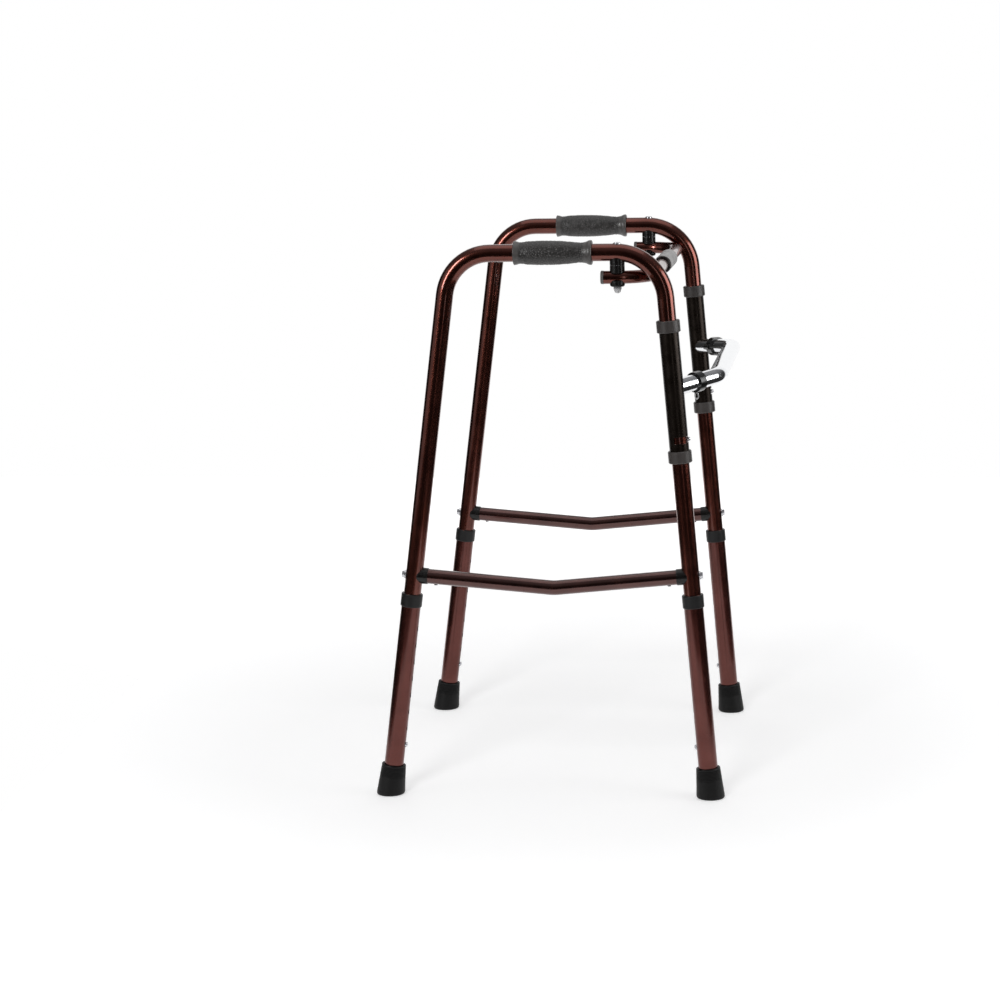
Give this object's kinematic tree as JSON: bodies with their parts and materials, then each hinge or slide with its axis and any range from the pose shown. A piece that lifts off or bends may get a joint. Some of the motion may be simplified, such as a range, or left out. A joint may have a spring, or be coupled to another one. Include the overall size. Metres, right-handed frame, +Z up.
{
  "type": "walking frame",
  "caption": "Adjustable walking frame: bent side tubes with grips, telescopic legs, and a crossbar and bow on pivots that let each side step forward in turn.",
  "frame": {"origin": "on the floor under the middle of the frame", "axes": "+X forwards, away from the user; +Y to the user's left; +Z up"},
  "size_m": [0.5238, 0.562, 0.823],
  "materials": {
    "red_frame": "glossy red-brown metallic lacquer over tube",
    "red_lower": "satin red-brown metallic lacquer over tube",
    "black_sleeve": "satin black lacquer over tube",
    "grey_bush": "moulded grey plastic",
    "charcoal_collar": "moulded charcoal plastic",
    "black_saddle": "moulded black plastic",
    "grip_rubber": "soft grey rubber, leather grain",
    "foot_rubber": "black rubber",
    "chrome_bar": "bright chrome plate on steel tube",
    "zinc": "zinc-plated steel",
    "spring_steel": "spring steel strip",
    "grey_cap": "moulded light grey plastic",
    "coupling_grey": "moulded grey plastic tube",
    "clear_cap": "pale cap over a nut",
    "clamp_black": "moulded black plastic",
    "cable_black": "black sheath over wire"
  },
  "bodies": {
    "right_side": {"right_side_tube": "red_frame", "right_hand_grip": "grip_rubber", "right_brace_tube": "red_frame", "right_brace_saddles": "black_saddle", "right_brace_screws": "zinc", "right_brace_plugs": "zinc", "right_brace_rivets": "zinc", "right_rear_button_spring": "spring_steel", "right_front_button_spring": "spring_steel", "right_sleeve_button_spring": "spring_steel", "right_upper_saddle": "black_saddle", "right_pivot_bolt": "zinc", "right_dome_nut": "clear_cap"},
    "right_rear_leg": {"right_rear_lower_leg": "red_lower", "right_rear_collar": "charcoal_collar", "right_rear_foot": "foot_rubber"},
    "right_rear_height_button": {"right_rear_button": "zinc"},
    "right_front_leg": {"right_front_lower_leg": "red_lower", "right_front_collar": "charcoal_collar", "right_front_foot": "foot_rubber"},
    "right_front_height_button": {"right_front_button": "zinc"},
    "right_swivel_button": {"right_sleeve_button": "zinc"},
    "left_side": {"left_side_tube": "red_frame", "left_hand_grip": "grip_rubber", "left_brace_tube": "red_frame", "left_brace_saddles": "black_saddle", "left_brace_screws": "zinc", "left_brace_plugs": "zinc", "left_brace_rivets": "zinc", "left_rear_button_spring": "spring_steel", "left_front_button_spring": "spring_steel", "left_sleeve_button_spring": "spring_steel", "left_upper_saddle": "black_saddle", "left_pivot_bolt": "zinc", "left_dome_nut": "clear_cap"},
    "left_rear_leg": {"left_rear_lower_leg": "red_lower", "left_rear_collar": "charcoal_collar", "left_rear_foot": "foot_rubber"},
    "left_rear_height_button": {"left_rear_button": "zinc"},
    "left_front_leg": {"left_front_lower_leg": "red_lower", "left_front_collar": "charcoal_collar", "left_front_foot": "foot_rubber"},
    "left_front_height_button": {"left_front_button": "zinc"},
    "left_swivel_button": {"left_sleeve_button": "zinc"},
    "crossbar_set": {"crossbar": "chrome_bar", "right_swivel_sleeve": "black_sleeve", "left_swivel_sleeve": "black_sleeve", "right_sleeve_bushes": "grey_bush", "left_sleeve_bushes": "grey_bush", "right_clamp": "clamp_black", "left_clamp": "clamp_black", "link_cable": "cable_black", "pull_loop": "zinc"},
    "bow": {"right_bow_tube": "red_frame", "left_bow_tube": "red_frame", "bow_end_caps": "grey_cap", "right_bow_saddles": "black_saddle", "left_bow_saddles": "black_saddle"},
    "bow_coupling": {"coupling_sleeve": "coupling_grey"}
  },
  "joints": [
    {"name": "crossbar_swivel", "type": "hinge", "parent": "right_side", "child": "crossbar_set", "pos_m": [0.19034, -0.26, 0.60315], "axis": [-0.077, 0, 0.997], "range_deg": [-6, 6]},
    {"name": "left_side_swivel", "type": "hinge", "parent": "crossbar_set", "child": "left_side", "pos_m": [0.19034, 0.26, 0.60315], "axis": [-0.077, 0, 0.997], "range_deg": [-6, 6]},
    {"name": "bow_swivel", "type": "hinge", "parent": "right_side", "child": "bow", "pos_m": [0.1106, -0.26, 0.769], "axis": [-0.077, 0, 0.997], "range_deg": [-6, 6]},
    {"name": "coupling_slide", "type": "slide", "parent": "bow", "child": "bow_coupling", "axis": [0, 1, 0], "range_m": [0, 0.065]},
    {"name": "right_rear_leg_height", "type": "slide", "parent": "right_side", "child": "right_rear_leg", "axis": [-0.1328, 0, -0.9911], "range_m": [0, 0.1778], "deforming": ["right_rear_button"]},
    {"name": "right_front_leg_height", "type": "slide", "parent": "right_side", "child": "right_front_leg", "axis": [0.077, 0, -0.997], "range_m": [0, 0.1778], "deforming": ["right_front_button"]},
    {"name": "right_rear_button_press", "type": "slide", "parent": "right_side", "child": "right_rear_height_button", "axis": [-0.9911, 0, 0.1328], "range_m": [0, 0.0045], "stiffness_N_per_m": 600, "springref_m": -0.006, "deforming": ["right_rear_button_spring"]},
    {"name": "right_front_button_press", "type": "slide", "parent": "right_side", "child": "right_front_height_button", "axis": [0.997, 0, 0.077], "range_m": [0, 0.0045], "stiffness_N_per_m": 600, "springref_m": -0.006, "deforming": ["right_front_button_spring"]},
    {"name": "right_swivel_button_press", "type": "slide", "parent": "right_side", "child": "right_swivel_button", "axis": [-0.997, 0, -0.077], "range_m": [0, 0.0045], "stiffness_N_per_m": 600, "springref_m": -0.006, "deforming": ["right_sleeve_button_spring"]},
    {"name": "left_rear_leg_height", "type": "slide", "parent": "left_side", "child": "left_rear_leg", "axis": [-0.1328, 0, -0.9911], "range_m": [0, 0.1778], "deforming": ["left_rear_button"]},
    {"name": "left_front_leg_height", "type": "slide", "parent": "left_side", "child": "left_front_leg", "axis": [0.077, 0, -0.997], "range_m": [0, 0.1778], "deforming": ["left_front_button"]},
    {"name": "left_rear_button_press", "type": "slide", "parent": "left_side", "child": "left_rear_height_button", "axis": [-0.9911, 0, 0.1328], "range_m": [0, 0.0045], "stiffness_N_per_m": 600, "springref_m": -0.006, "deforming": ["left_rear_button_spring"]},
    {"name": "left_front_button_press", "type": "slide", "parent": "left_side", "child": "left_front_height_button", "axis": [0.997, 0, 0.077], "range_m": [0, 0.0045], "stiffness_N_per_m": 600, "springref_m": -0.006, "deforming": ["left_front_button_spring"]},
    {"name": "left_swivel_button_press", "type": "slide", "parent": "left_side", "child": "left_swivel_button", "axis": [-0.997, 0, -0.077], "range_m": [0, 0.0045], "stiffness_N_per_m": 600, "springref_m": -0.006, "deforming": ["left_sleeve_button_spring"]}
  ],
  "couplings": [
    {"joint": "left_side_swivel", "follows": "crossbar_swivel", "ratio": -1},
    {"joint": "bow_swivel", "follows": "crossbar_swivel", "ratio": 1}
  ]
}
